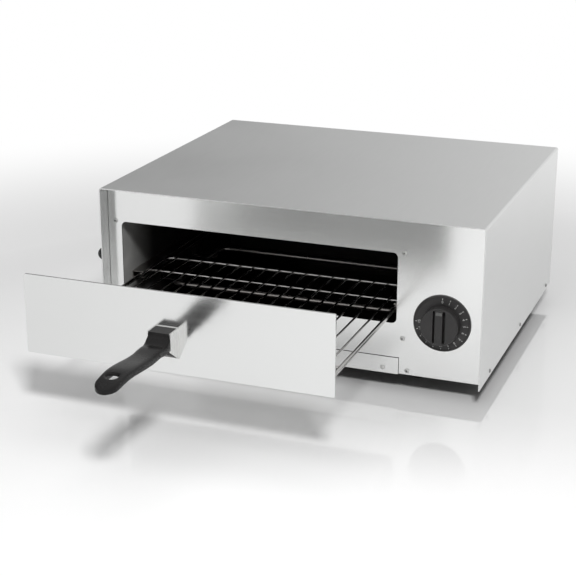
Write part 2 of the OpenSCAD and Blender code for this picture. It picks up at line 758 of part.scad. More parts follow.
// The welded rack: a frame wire with round corners, thin rods that run front
// to back, and two cross wires under them
module wire_rack() {
    r = rack_wire_d / 2;
    R = rack_corner_r;
    y0 = rack_front_y;
    y1 = rack_rear_y;
    color("silver") translate([opening_x, 0, 0]) {
        for (y = [y0, y1]) rod_x(-rack_half + R, rack_half - R, y, rack_z, r);
        for (s = [-1, 1]) rod_y(s * rack_half, y0 + R, y1 - R, rack_z, r);
        bend(rack_half - R, y1 - R, rack_z, R, r, 0);
        bend(-rack_half + R, y1 - R, rack_z, R, r, 90);
        bend(-rack_half + R, y0 + R, rack_z, R, r, 180);
        bend(rack_half - R, y0 + R, rack_z, R, r, 270);
        for (k = [0:rack_rods - 1])
            rod_y((k - (rack_rods - 1) / 2) * rack_pitch, y0, y1, rack_z + rod_lift, rack_rod_d / 2);
        for (s = [-1, 1])
            rod_x(-rack_half, rack_half, (y0 + y1) / 2 + s * cross_share * (y1 - y0),
                  rack_z - cross_drop, rack_cross_d / 2);
    }
}

// Saddles on the back of the door that hold the rack's front wire
module rack_clips() {
    r_in = rack_wire_d / 2 + touch;
    r_out = r_in + 1;
    y0 = door_back + touch / 2;
    tab = rack_z - r_in - opening_z - 1;
    color("silver") for (s = [-1, 1]) translate([opening_x + s * clip_x - rack_clip_w / 2, rack_front_y, rack_z])
        rotate([90, 0, 90]) linear_extrude(rack_clip_w) {
            difference() {
                union() {
                    circle(r_out);
                    translate([y0 - rack_front_y, -r_out]) square([rack_front_y - y0, 2 * r_out]);
                }
                circle(r_in);
                translate([-r_out - 1, -r_in]) square([r_out + 1, 2 * r_in]);
                translate([-r_out - 1, -r_out - 1]) square([r_out + 1 - rack_front_y + y0, 2 * r_out + 2]);
            }
            for (t = [-1, 1]) translate([y0 - rack_front_y, t > 0 ? r_in : -r_in - tab]) square([1, tab]);
        }
}

// The bent metal bracket that grips the handle's root
module handle_bracket() {
    y_door = door_front - touch / 2;
    color("silver") difference() {
        union() {
            block([handle_x - handle_w / 2, y_door - bracket_t, bracket_z - bracket_h],
                  [handle_x + handle_w / 2, y_door, bracket_z]);
            for (s = [-1, 1])
                translate([handle_x + s * (handle_w / 2 - bracket_t / 2) - bracket_t / 2, 0, 0])
                    bracket_profile(y_door, bracket_t, 0);
        }
        for (z = handle_screw_z) rod_y(handle_x, y_door - 5, y_door + 1, z, handle_screw_r + touch);
    }
}

// The bracket's side outline: level top, upright front, raking lower edge
module bracket_profile(y_door, t, inset) {
    rotate([90, 0, 90]) linear_extrude(t) polygon([
        [y_door - inset, bracket_z - bracket_h + inset * 0.7],
        [y_door - inset, bracket_z - inset / 4],
        [y_door - bracket_d + inset / 4, bracket_z - inset / 4],
        [y_door - bracket_d + inset / 4, bracket_z - bracket_front_h + inset / 4]
    ]);
}

// Stations of the grip: share of the free length, dip below the bracket's top
// as a share of grip_dip, thickness as a share of grip_t, half width as a share
// of handle_w
grip_stations = [
    [-0.02, 0.03, 2.04, 0.49],
    [0.023, 0.43, 1.68, 0.49],
    [0.08, 0.865, 1.18, 0.488],
    [0.165, 0.855, 1.04, 0.48],
    [0.29, 0.92, 1.03, 0.47],
    [0.41, 0.855, 1, 0.48],
    [0.59, 0.65, 1, 0.494],
    [0.73, 0.575, 1.02, 0.486],
    [0.87, 0.735, 1, 0.468],
    [1, 1.12, 0.72, 0.45]
];

// Smooth value of column c at station parameter u, through the stations
function pick(i) = grip_stations[max(0, min(len(grip_stations) - 1, i))];
function spline(a, b, c, d, f) =
    b + 0.5 * f * (c - a + f * (2 * a - 5 * b + 4 * c - d + f * (3 * (b - c) + d - a)));
function station(u, c) =
    let (i = floor(u)) spline(pick(i - 1)[c], pick(i)[c], pick(i + 1)[c], pick(i + 2)[c], u - i);

grip_rings = 40;
grip_sides = 28;
grip_last = len(grip_stations) - 1;
tip_r = handle_w / 2;

// Rings crowd together towards the round tip
function grip_u(k) = grip_last * sin(90 * k / (grip_rings - 1));
function tip_share(s) =
    s < handle_l - tip_r ? 1 : sqrt(max(0.002, 1 - pow((s - handle_l + tip_r) / tip_r, 2)));

// One ring: a rounded rectangle, closer to an ellipse at the tip
function ring_point(k, j) =
    let (
        u = grip_u(k),
        s = bracket_d + station(u, 0) * (handle_l - bracket_d),
        top = -station(u, 1) * grip_dip,
        low = top - station(u, 2) * grip_t,
        share = tip_share(s),
        w = station(u, 3) * handle_w * share,
        h = (top - low) / 2 * (0.55 + 0.45 * share),
        a = 360 * j / grip_sides,
        p = 0.42
    )
    [
        w * sign(cos(a)) * pow(abs(cos(a)), p),
        -s,
        (top + low) / 2 + h * sign(sin(a)) * pow(abs(sin(a)), p)
    ];

module grip() {
    points = [for (k = [0:grip_rings - 1], j = [0:grip_sides - 1]) ring_point(k, j)];
    sides = [
        for (k = [0:grip_rings - 2], j = [0:grip_sides - 1])
            let (a = k * grip_sides + j, b = k * grip_sides + (j + 1) % grip_sides)
            each [[a, a + grip_sides, b], [b, a + grip_sides, b + grip_sides]]
    ];
    first = [for (j = [0:grip_sides - 1]) j];
    last = [for (j = [grip_sides - 1:-1:0]) (grip_rings - 1) * grip_sides + j];
    polyhedron(points, concat([first], sides, [last]), convexity = 6);
}

// The moulded handle: a root block between the bracket's cheeks, a waisted
// grip, and near the round tip a hang hole with a pocket under it
module handle() {
    y_door = door_front - touch / 2;
    root_w = handle_w - 2 * bracket_t - 2 * touch;
    color("black") difference() {
        union() {
            translate([handle_x - root_w / 2, 0, 0]) bracket_profile(y_door, root_w, bracket_t + touch);
            translate([handle_x, y_door, bracket_z]) intersection() {
                grip();
                translate([-handle_w, -handle_l - handle_w, -2 * bracket_h])
                    cube([2 * handle_w, handle_l + handle_w - bracket_d - touch, 3 * bracket_h]);
            }
            translate([handle_x - root_w / 2, y_door - bracket_d - 1, bracket_z - bracket_front_h + 1.2])
                cube([root_w, 2, bracket_front_h - 2.4]);
        }
        translate([handle_x, y_door - hang_hole_s, 0]) {
            rod_z(0, 0, bracket_z - bracket_h, bracket_z + bracket_h, hang_hole_d / 2);
            translate([0, 0, hang_hole_top - 1]) cylinder(r1 = hang_hole_d / 2, r2 = hang_hole_d / 2 + 2, h = 2);
            rod_z(0, 0, bracket_z - bracket_h, hang_hole_top - pocket_wall, pocket_w / 2);
            rod_z(0, pocket_l, bracket_z - bracket_h, hang_hole_top - pocket_wall, pocket_w / 2);
            block([-pocket_w / 2, 0, bracket_z - bracket_h], [pocket_w / 2, pocket_l, hang_hole_top - pocket_wall]);
        }
        for (z = handle_screw_z) rod_y(handle_x, y_door - 14, y_door + 1, z, handle_screw_r + touch / 2);
    }
}

// Two screws from behind the door into the handle's root
module handle_screws() {
    y_door = door_back;
    color("silver") for (z = handle_screw_z) {
        rod_y(handle_x, door_front - 12, y_door + touch + eps, z, handle_screw_r);
        translate([handle_x, y_door, z]) rotate([0, 0, 180]) dome_y(0, -touch, 0, 3.8, 2.2);
    }
}

// The crumb tray: a shallow pan with a front strip that fills its slot
module crumb_tray() {
    t = tray_t;
    y0 = front_y + tray_front_t - eps;
    color("gainsboro") difference() {
        union() {
            block([opening_x - tray_front_w, front_y, -tray_drop],
                  [opening_x + tray_front_w, front_y + tray_front_t, tray_front_h - tray_drop]);
            difference() {
                block([opening_x - tray_w, y0, tray_bottom], [opening_x + tray_w, tray_back, tray_wall_h]);
                block([opening_x - tray_w + t, y0 + t, tray_bottom + t], [opening_x + tray_w - t, tray_back - t, tray_wall_h + 1]);
            }
        }
        for (s = [-1, 1]) rod_y(opening_x + s * tray_rivet_x, front_y - 1, front_y + 4, tray_rivet_z, rivet_r + touch / 2);
    }
}

module tray_rivets() {
    color("gainsboro") for (s = [-1, 1]) {
        dome_y(opening_x + s * tray_rivet_x, front_y - touch, tray_rivet_z, screw_head_r, screw_head_h);
        rod_y(opening_x + s * tray_rivet_x, front_y - touch - eps, front_y + 3.5, tray_rivet_z, rivet_r);
    }
}

placed() outer_cover();
placed() front_panel();
placed() base_pan();
placed() back_panel();
placed() oven_liner();
placed() left_rack_guide();
placed() right_rack_guide();
placed() guide_rivets();
placed() lower_element();
placed() upper_element();
placed() element_clips();
placed() element_bushings();
placed() top_heat_shield();
placed() side_heat_shield();
placed() thermal_cutout();
placed() terminal_block();
placed() timer_body();
placed() timer_bell();
placed() timer_screws();
placed() dial_plate();
placed() feet();
placed() foot_screws();
placed() cover_screws();
placed() back_screws();
placed() panel_screws();
placed() side_bumper();
placed() cord_bushing();
placed() timer_shaft();
placed() timer_knob();
placed() door_panel();
placed() wire_rack();
placed() rack_clips();
placed() handle_bracket();
placed() handle();
placed() handle_screws();
placed() crumb_tray();
placed() tray_rivets();
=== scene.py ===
import math

import bpy
from bpy.props import FloatProperty, FloatVectorProperty, IntProperty, PointerProperty
from mathutils import Matrix, Vector


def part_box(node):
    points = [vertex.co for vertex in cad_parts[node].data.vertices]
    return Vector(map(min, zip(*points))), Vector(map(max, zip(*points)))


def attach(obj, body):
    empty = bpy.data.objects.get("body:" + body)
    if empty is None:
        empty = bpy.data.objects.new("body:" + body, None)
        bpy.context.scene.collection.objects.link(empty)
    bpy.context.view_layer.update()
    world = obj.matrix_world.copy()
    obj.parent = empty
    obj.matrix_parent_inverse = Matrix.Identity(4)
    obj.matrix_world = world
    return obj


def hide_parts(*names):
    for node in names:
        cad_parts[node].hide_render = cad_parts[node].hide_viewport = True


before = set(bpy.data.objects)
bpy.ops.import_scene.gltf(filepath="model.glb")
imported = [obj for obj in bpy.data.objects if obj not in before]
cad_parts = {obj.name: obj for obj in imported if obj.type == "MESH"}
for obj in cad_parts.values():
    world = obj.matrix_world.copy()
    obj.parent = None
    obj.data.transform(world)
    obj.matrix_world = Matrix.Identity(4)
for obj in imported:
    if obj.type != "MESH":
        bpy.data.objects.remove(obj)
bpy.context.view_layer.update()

bl_info = {
    "name": "Pizza oven dresser",
    "version": (1, 0, 0),
    "blender": (4, 5, 0),
    "location": "3D View > Sidebar > Pizza oven",
    "description": "Finishes, small details and a studio for the packed countertop pizza oven",
    "category": "Object",
}

MM = 0.001

# Places and levels that aren't for the user to set
CAMERA_PLACE = (0.567715, -1.491360, 0.659456)
CAMERA_TURN = math.radians(20.908)
CAMERA_TILT = math.radians(19.113)
CAMERA_ROLL = 0.00122
SENSOR_WIDTH = 36.0
ROOM_DIRECTION = (0.9, -0.44, 0.0)
VIEW_DIRECTION = (-0.357, 0.934, 0.0)
LEAST_SIDE_GLOSS = 0.2
FLOOR_SIZE = 14
FLOOR_BOUNCE = (0.8, 0.8, 0.8, 1)
LAMP_AIM = (0, 0, 0.1)
GRAIN_LENGTH = 0.9
GRAIN_DENSITY = 60.0


# Sizes and colours that a user would change

def size(name, description, default):
    return FloatProperty(name=name, description=description, default=default, unit="LENGTH", precision=5)


def colour(name, description, default):
    return FloatVectorProperty(name=name, description=description, default=default, subtype="COLOR",
                               size=3, min=0.0, max=1.0)


def level(name, description, default):
    return FloatProperty(name=name, description=description, default=default, min=0.0)


class SteelSettings(bpy.types.PropertyGroup):
    cover: colour("Cover", "Brushed steel of the wrapped cover", (0.72, 0.725, 0.72))
    front: colour("Front", "Satin steel of the front panel and tray", (0.8, 0.805, 0.8))
    door: colour("Door", "Satin steel of the door", (0.745, 0.75, 0.745))
    base: colour("Base", "Plain sheet of the base and rear wall", (0.5, 0.51, 0.51))
    # Painted shade: the dark colour of the oven walls deeper inside, where the oven is in shade.
    oven: colour("Oven walls", "Heat-darkened sheet inside the oven", (0.02, 0.018, 0.017))
    # Painted light: the pale colour of the oven walls near the opening, where the front lamp's light falls in.
    mouth: colour("Oven mouth", "Bare sheet of the oven walls near the opening", (0.4, 0.4, 0.39))
    edge: size("Edge round", "Rounding of the cut edges of the sheet", 0.35 * MM)


class PlasticSettings(bpy.types.PropertyGroup):
    black: colour("Black", "Moulded handle, dial and knob", (0.011, 0.0105, 0.0105))
    rubber: colour("Rubber", "Feet and side button", (0.018, 0.018, 0.019))
    dial_print: colour("Print", "White paint of the dial's scale", (0.5, 0.5, 0.49))


class DialSettings(bpy.types.PropertyGroup):
    marks: IntProperty(name="Marks", description="Numbered marks on the dial, one a minute from zero",
                       default=16)
    step: FloatProperty(name="Step", description="Angle from one mark to the next", default=math.radians(18),
                        unit="ROTATION")
    inner: size("Inner end", "Distance of a mark's inner end from the dial's centre", 28.9 * MM)
    outer: size("Outer end", "Distance of a mark's outer end from the dial's centre", 30.6 * MM)
    width: size("Width", "Width of a mark", 0.7 * MM)
    number_height: size("Number height", "Height of the dial's numbers", 4.4 * MM)
    number_place: size("Number place", "Distance of the numbers from the dial's centre", 26.0 * MM)


class StudioSettings(bpy.types.PropertyGroup):
    lens: FloatProperty(name="Lens", description="Focal length of the camera", default=89.76)
    key: level("Overhead", "Power of the broad overhead light in watts", 12.0)
    ambient: level("Ambient", "Share of the room's light that falls on matt surfaces", 0.2)
    fill: level("Front", "Power of the smaller light at the front right in watts", 52.0)
    room: FloatVectorProperty(name="Room",
                              description="Side-to-side start and end of the room's light, and its levels there",
                              size=4, default=(-0.86, -0.42, 0.24, 0.9))
    floor: colour("Floor", "Colour in which the camera sees the floor", (1.0, 1.0, 1.0))
    floor_rough: level("Floor blur", "Roughness of the floor's gloss", 0.07)
    floor_gloss: level("Floor gloss", "Share of the floor's gloss beside the oven", 0.4)
    gloss_fade: FloatVectorProperty(name="Gloss fade",
                                    description="Where the gloss starts and is full, along the view",
                                    size=2, default=(-0.34, -0.1), unit="LENGTH")
    gloss_side: FloatVectorProperty(name="Gloss side",
                                    description="Where the gloss starts and is full, left to right",
                                    size=2, default=(-0.26, 0.02), unit="LENGTH")
    fade: FloatVectorProperty(name="Fade",
                              description="Where the floor starts to fade and where it is white",
                              size=2, default=(0.5, 1.3), unit="LENGTH")


# Helpers for meshes

def plain_view():
    """Nothing selected and object mode, as each step expects."""
    if bpy.context.object and bpy.context.object.mode != "OBJECT":
        bpy.ops.object.mode_set(mode="OBJECT")
    bpy.ops.object.select_all(action="DESELECT")


def settle(obj, name, material, body):
    """Names a finished piece, puts its place into its mesh and lets it ride on its body."""
    plain_view()
    obj.select_set(True)
    bpy.context.view_layer.objects.active = obj
    bpy.ops.object.transform_apply(location=True, rotation=True, scale=True)
    obj.name = obj.data.name = name
    obj.data.materials.clear()
    obj.data.materials.append(material)
    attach(obj, body)
    return obj


def join(objects):
    plain_view()
    for obj in objects:
        obj.select_set(True)
    bpy.context.view_layer.objects.active = objects[0]
    bpy.ops.object.join()
    return bpy.context.object


def small_block(place, turn, sizes, edge, segments=1):
    """A small bevelled block, turned about the front-to-back axis, for print and recesses."""
    plain_view()
    bpy.ops.mesh.primitive_cube_add(size=1, location=place, rotation=(0, turn, 0))
    block = bpy.context.object
    block.scale = sizes
    bpy.ops.object.transform_apply(location=False, rotation=False, scale=True)
    bpy.ops.object.mode_set(mode="EDIT")
    bpy.ops.mesh.bevel(offset=edge, segments=segments, affect="EDGES")
    bpy.ops.object.mode_set(mode="OBJECT")
    bpy.ops.object.transform_apply(location=True, rotation=True, scale=True)
    return block


def centre_of(node):
    low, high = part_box(node)
    return (Vector(low) + Vector(high)) / 2


def islands(node, reach=10 * MM):
    """Boxes of a node's separate solids, for solids smaller than `reach` that lie further apart."""
    groups = []
    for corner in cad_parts[node].data.vertices:
        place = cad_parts[node].matrix_world @ corner.co
        for group in groups:
            if (group[0] - place).length < reach:
                group.append(place)
                break
        else:
            groups.append([place])
    return [([min(p[i] for p in group) for i in range(3)], [max(p[i] for p in group) for i in range(3)])
            for group in groups]


def smooth_copy(node, name, angle):
    """A welded, smoothly shaded copy of a CAD node, for a moulded piece."""
    plain_view()
    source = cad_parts[node]
    source.select_set(True)
    bpy.context.view_layer.objects.active = source
    bpy.ops.object.duplicate(linked=False)
    obj = bpy.context.object
    for key in [k for k in obj.keys() if k.startswith("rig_")]:
        del obj[key]
    obj.parent = None
    bpy.ops.object.mode_set(mode="EDIT")
    bpy.ops.mesh.select_all(action="SELECT")
    bpy.ops.mesh.remove_doubles(threshold=0.002 * MM)
    bpy.ops.object.mode_set(mode="OBJECT")
    bpy.ops.object.shade_smooth_by_angle(angle=math.radians(angle))
    obj.name = obj.data.name = name
    return obj


# Helpers for materials

def add_node(nodes, kind, **values):
    """A new node; each value goes to its setting, or else to its input of that name."""
    made = nodes.new(kind)
    for key, value in values.items():
        if hasattr(made, key):
            setattr(made, key, value)
        else:
            made.inputs[key.replace("_", " ")].default_value = value
    return made


def set_range(ranged, *limits):
    """Sets From Min, From Max, To Min and To Max of a Map Range node, as many as are given."""
    for key, number in zip(("From Min", "From Max", "To Min", "To Max"), limits):
        ranged.inputs[key].default_value = number


class Finish:
    """A node material with one Principled shader, built up piece by piece."""

    def __init__(self, name):
        self.material = bpy.data.materials.new(name)
        self.material.use_nodes = True
        self.nodes = self.material.node_tree.nodes
        self.links = self.material.node_tree.links
        self.shader = self.nodes["Principled BSDF"]
        self.coords = self.nodes.new("ShaderNodeTexCoord")

    def node(self, kind, **values):
        return add_node(self.nodes, kind, **values)

    def set(self, **values):
        for key, value in values.items():
            self.shader.inputs[key.replace("_", " ")].default_value = value
        return self

    def noise(self, scale, stretch=(1, 1, 1), detail=3.0, roughness=0.5):
        placing = self.node("ShaderNodeMapping")
        placing.inputs["Scale"].default_value = stretch
        self.links.new(self.coords.outputs["Object"], placing.inputs["Vector"])
        noise = self.node("ShaderNodeTexNoise", Scale=scale, Detail=detail, Roughness=roughness)
        self.links.new(placing.outputs["Vector"], noise.inputs["Vector"])
        return noise.outputs["Fac"]

    def spread(self, value, low, high, start=0.3, end=0.7):
        """Maps a value between start and end to one between low and high."""
        ranged = self.node("ShaderNodeMapRange")
        set_range(ranged, start, end, low, high)
        self.links.new(value, ranged.inputs["Value"])
        return ranged.outputs["Result"]

    def tint(self, value, dark, light, start=0.3, end=0.7):
        """Colours between two shades by a noise value."""
        ramp = self.node("ShaderNodeValToRGB")
        stops = ramp.color_ramp.elements
        stops[0].position, stops[1].position = start, end
        stops[0].color, stops[1].color = (*dark, 1), (*light, 1)
        self.links.new(value, ramp.inputs["Fac"])
        return ramp.outputs["Color"]

    def baked(self, colour, start, end, dark):
        """Darkens a colour from one place to another along Y: painted shade deeper inside the oven."""
        parts = self.node("ShaderNodeSeparateXYZ")
        self.links.new(self.coords.outputs["Object"], parts.inputs["Vector"])
        depth = self.spread(parts.outputs["Y"], 0.0, 1.0, start, end)
        mix = self.node("ShaderNodeMix", data_type="RGBA")
        mix.inputs["B"].default_value = (*dark, 1)
        self.links.new(depth, mix.inputs["Factor"])
        self.links.new(colour, mix.inputs["A"])
        return mix.outputs["Result"]

    def link(self, value, socket):
        self.links.new(value, self.shader.inputs[socket])

    def relief(self, value, strength, distance, edge=0.0):
        bump = self.node("ShaderNodeBump", Strength=strength, Distance=distance)
        self.links.new(value, bump.inputs["Height"])
        if edge:
            rounding = self.node("ShaderNodeBevel", samples=6, Radius=edge)
            self.links.new(rounding.outputs["Normal"], bump.inputs["Normal"])
        self.link(bump.outputs["Normal"], "Normal")


def shade(rgb, factor):
    return tuple(min(1.0, c * factor) for c in rgb)


def brushed_steel(name, rgb, grain, rough, contrast=0.03, relief=0.03, edge=0.0, spread=(0, 0, 1),
                  anisotropy=0.75, baked=None):
    """Sheet steel: reflections smear along `spread`, across a fine grain, with rounded cut edges."""
    finish = Finish(name).set(Metallic=1.0, Anisotropic=anisotropy)
    smear = finish.node("ShaderNodeCombineXYZ", X=spread[0], Y=spread[1], Z=spread[2])
    finish.link(smear.outputs["Vector"], "Tangent")
    stretch = [GRAIN_DENSITY] * 3
    stretch["XYZ".index(grain)] = GRAIN_LENGTH
    streaks = finish.noise(22.0, stretch, detail=4.0, roughness=0.62)
    smears = finish.noise(5.0, detail=2.0)
    steel = finish.tint(streaks, shade(rgb, 1 - contrast), shade(rgb, 1 + contrast))
    # The optional darkening along Y is painted shade.
    finish.link(finish.baked(steel, *baked) if baked else steel, "Base Color")
    both = finish.node("ShaderNodeMath", operation="ADD")
    finish.links.new(finish.spread(streaks, rough - 0.03, rough + 0.03), both.inputs[0])
    finish.links.new(finish.spread(smears, -0.02, 0.03), both.inputs[1])
    finish.link(both.outputs["Value"], "Roughness")
    finish.relief(streaks, relief, 0.00003, edge)
    return finish.material


def dull_sheet(name, rgb, rough, blotch=0.3, metal=1.0, relief=0.1, baked=None):
    """Oxidised or galvanised sheet: soft blotches in colour and gloss."""
    finish = Finish(name).set(Metallic=metal)
    blotches = finish.noise(26.0, detail=5.0, roughness=0.6)
    sheet = finish.tint(blotches, shade(rgb, 1 - blotch), shade(rgb, 1 + blotch))
    # The optional darkening along Y is painted shade.
    finish.link(finish.baked(sheet, *baked) if baked else sheet, "Base Color")
    finish.link(finish.spread(blotches, rough - 0.08, rough + 0.08), "Roughness")
    finish.relief(finish.noise(900.0, detail=2.0), relief, 0.00008)
    return finish.material


def moulded(name, rgb, rough, grain=0.12, scale=1400.0, specular=0.5):
    """Moulded plastic or rubber with a fine skin."""
    finish = Finish(name).set(Specular_IOR_Level=specular)
    cloud = finish.noise(40.0, detail=3.0)
    finish.link(finish.tint(cloud, shade(rgb, 0.85), shade(rgb, 1.2)), "Base Color")
    finish.link(finish.spread(cloud, rough - 0.05, rough + 0.05), "Roughness")
    finish.relief(finish.noise(scale, detail=2.0), grain, 0.00006)
    return finish.material


def plated(name, rgb, rough, wear=0.1, scale=300.0):
    """Nickel or zinc plating, with faint clouding."""
    finish = Finish(name).set(Metallic=1.0)
    cloud = finish.noise(scale, detail=3.0)
    finish.link(finish.tint(cloud, shade(rgb, 1 - wear), shade(rgb, 1 + wear)), "Base Color")
    finish.link(finish.spread(cloud, rough - 0.04, rough + 0.05), "Roughness")
    finish.relief(finish.noise(scale * 3, detail=1.0), 0.04, 0.00004)
    return finish.material


def dress(material, *nodes):
    for node in nodes:
        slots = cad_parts[node].data.materials
        slots.clear()
        slots.append(material)


# Pieces and finishes

class OVEN_OT_sheet_metal(bpy.types.Operator):
    """Gives the case, front, door, tray and walls their steels"""
    bl_idname = "oven.sheet_metal"
    bl_label = "Sheet metal"

    def execute(self, context):
        steel = context.scene.oven_steel
        dress(brushed_steel("cover_steel", steel.cover, "Y", 0.34, 0.03, 0.03, steel.edge, (0.7, 0, 0.7)),
              "outer_cover")
        panel_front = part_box("front_panel")[0][1]
        dress(brushed_steel("front_steel", steel.front, "X", 0.2, 0.008, 0.003, steel.edge, anisotropy=0.6),
              "front_panel")
        # Behind its front strip the tray takes the dark oven colour: painted shade inside the oven.
        strip_back = panel_front + 1.2 * MM
        tray_shade_from = strip_back + 1 * MM
        dress(brushed_steel("tray_steel", steel.front, "X", 0.22, 0.008, 0.003, steel.edge,
                            baked=(strip_back, tray_shade_from, steel.oven)), "crumb_tray")
        dress(brushed_steel("door_steel", steel.door, "X", 0.14, 0.008, 0.003, steel.edge, anisotropy=0.6),
              "door_panel")
        dress(dull_sheet("rear_sheet", steel.base, 0.42, 0.12), "back_panel")
        # The base pan is a fifth as bright as the plain base sheet: painted shade of the underside, which the
        # floor mirrors.
        dress(dull_sheet("base_sheet_painted_shade", shade(steel.base, 0.2), 0.5, 0.12), "base_pan")
        # The oven walls are pale near the opening and dark further in: painted light at the mouth, painted shade
        # deeper in.
        mouth_light_end, oven_shade_full_at = panel_front + 15 * MM, panel_front + 90 * MM
        dress(dull_sheet("oven_wall_sheet", steel.mouth, 0.5, 0.2, 0.2,
                         baked=(mouth_light_end, oven_shade_full_at, steel.oven)), "oven_liner")
        dress(dull_sheet("guide_sheet", (0.42, 0.41, 0.39), 0.35, 0.15),
              "left_rack_guide", "right_rack_guide", "guide_rivets", "element_clips", "rack_clips")
        dress(dull_sheet("shield_sheet", (0.66, 0.66, 0.65), 0.36, 0.08),
              "top_heat_shield", "side_heat_shield")
        dress(brushed_steel("bracket_steel", (0.78, 0.78, 0.77), "Z", 0.28, 0.008, 0.003, steel.edge),
              "handle_bracket")
        return {"FINISHED"}


class OVEN_OT_fittings(bpy.types.Operator):
    """Finishes the rack, elements, screws, timer works and electrical parts"""
    bl_idname = "oven.fittings"
    bl_label = "Fittings"

    def execute(self, context):
        dress(plated("rack_nickel", (0.62, 0.61, 0.6), 0.2), "wire_rack")
        dress(plated("screw_plating", (0.6, 0.6, 0.59), 0.36), "panel_screws", "tray_rivets", "back_screws",
              "foot_screws", "handle_screws", "timer_screws", "timer_shaft")
        dress(plated("side_screw_plating", (0.3, 0.3, 0.3), 0.32), "cover_screws")
        dress(plated("timer_plating", (0.6, 0.6, 0.57), 0.3), "timer_body")
        dress(plated("gong_plating", (0.72, 0.58, 0.32), 0.25), "timer_bell")
        dress(dull_sheet("element_sheath", (0.5, 0.48, 0.46), 0.34, 0.2), "lower_element", "upper_element")
        dress(moulded("glazed_ceramic", (0.8, 0.77, 0.7), 0.3, 0.05), "element_bushings", "terminal_block")
        dress(moulded("brown_phenolic", (0.14, 0.07, 0.04), 0.4), "thermal_cutout")
        return {"FINISHED"}


class OVEN_OT_plastics(bpy.types.Operator):
    """Finishes the black mouldings and replaces the handle by a smooth one"""
    bl_idname = "oven.plastics"
    bl_label = "Plastics"

    def execute(self, context):
        plastic = context.scene.oven_plastic
        dial_black = moulded("dial_black", shade(plastic.black, 2.2), 0.42, 0.15, specular=0.4)
        dress(dial_black, "dial_plate", "timer_knob")
        dress(moulded("bushing_black", plastic.black, 0.5), "cord_bushing")
        dress(moulded("black_rubber", plastic.rubber, 0.6, 0.2, 900.0, 0.35), "feet", "side_bumper")
        grip = smooth_copy("handle", "handle_moulding", 32)
        phenolic = moulded("handle_phenolic", plastic.black, 0.28, 0.06, specular=0.16)
        settle(grip, "handle_moulding", phenolic, "drawer")
        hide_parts("handle")
        return {"FINISHED"}


FACE_DEPTH = 0.5 * MM
PRINT_THICKNESS = 0.16 * MM
PRINT_EDGE = 0.06 * MM
NUMBER_THICKNESS = 0.04 * MM


class OVEN_OT_dial_scale(bpy.types.Operator):
    """Prints the minute marks and their numbers on the dial"""
    bl_idname = "oven.dial_scale"
    bl_label = "Dial scale"

    def execute(self, context):
        dial = context.scene.oven_dial
        paint = moulded("white_print", context.scene.oven_plastic.dial_print, 0.5, 0.02)
        centre = centre_of("dial_plate")
        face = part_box("dial_plate")[0][1] + FACE_DEPTH
        middle = (dial.inner + dial.outer) / 2
        sizes = (dial.width, PRINT_THICKNESS, dial.outer - dial.inner)
        marks = []
        for minute in range(dial.marks):
            turn = minute * dial.step
            place = (centre.x + middle * math.sin(turn), face, centre.z + middle * math.cos(turn))
            marks.append(small_block(place, turn, sizes, PRINT_EDGE))
            plain_view()
            marks.append(self.number(dial, str(minute), turn, centre, face))
        settle(join(marks), "dial_marks", paint, "case")
        return {"FINISHED"}

    def number(self, dial, digits, turn, centre, face):
        """One number, upright towards the rim, as a thin raised mesh."""
        bpy.ops.object.text_add(rotation=(math.pi / 2, turn, 0))
        text = bpy.context.object
        text.data.body = digits
        text.data.size = dial.number_height
        text.data.align_x, text.data.align_y = "CENTER", "CENTER"
        text.data.extrude = NUMBER_THICKNESS
        text.data.resolution_u = 3
        bpy.ops.object.convert(target="MESH")
        text = bpy.context.object
        text.location = (centre.x + dial.number_place * math.sin(turn), face,
                         centre.z + dial.number_place * math.cos(turn))
        bpy.ops.object.transform_apply(location=True, rotation=True, scale=True)
        return text


CROSS_TURNS = (20, 110)
SLOT_SIZES = (3.0 * MM, 0.3 * MM, 0.7 * MM)
SLOT_EDGE = 0.1 * MM


class OVEN_OT_screw_slots(bpy.types.Operator):
    """Sets a dark cross at each screw head on the front: painted shade of its cross recess"""
    bl_idname = "oven.screw_slots"
    bl_label = "Screw slots"

    def execute(self, context):
        bars = []
        for low, high in islands("panel_screws"):
            head = ((low[0] + high[0]) / 2, low[1], (low[2] + high[2]) / 2)
            for turn in CROSS_TURNS:
                bars.append(small_block(head, math.radians(turn), SLOT_SIZES, SLOT_EDGE))
        shadow = moulded("slot_shadow", (0.03, 0.03, 0.03), 0.6)
        settle(join(bars), "screw_slots", shadow, "case")
        return {"FINISHED"}


POINTER_INSET = 5.6 * MM
POINTER_SIZES = (7.4 * MM, 0.2 * MM, 3.6 * MM)
POINTER_EDGE = 0.08 * MM


class OVEN_OT_knob_pointer(bpy.types.Operator):
    """Prints the pale pointer at the upper end of the knob's grip bar; the pale patch is partly a painted
    highlight on the bar's raised end
    """
    bl_idname = "oven.knob_pointer"
    bl_label = "Knob pointer"

    def execute(self, context):
        low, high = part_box("timer_knob")
        centre = centre_of("timer_knob")
        radius = (high[0] - low[0]) / 2
        place = (centre.x, low[1], centre.z + radius - POINTER_INSET)
        patch = small_block(place, 0, POINTER_SIZES, POINTER_EDGE, segments=2)
        paint = moulded("pointer_print_and_highlight", (0.1, 0.1, 0.098), 0.5, 0.02)
        settle(patch, "knob_pointer", paint, "knob")
        return {"FINISHED"}


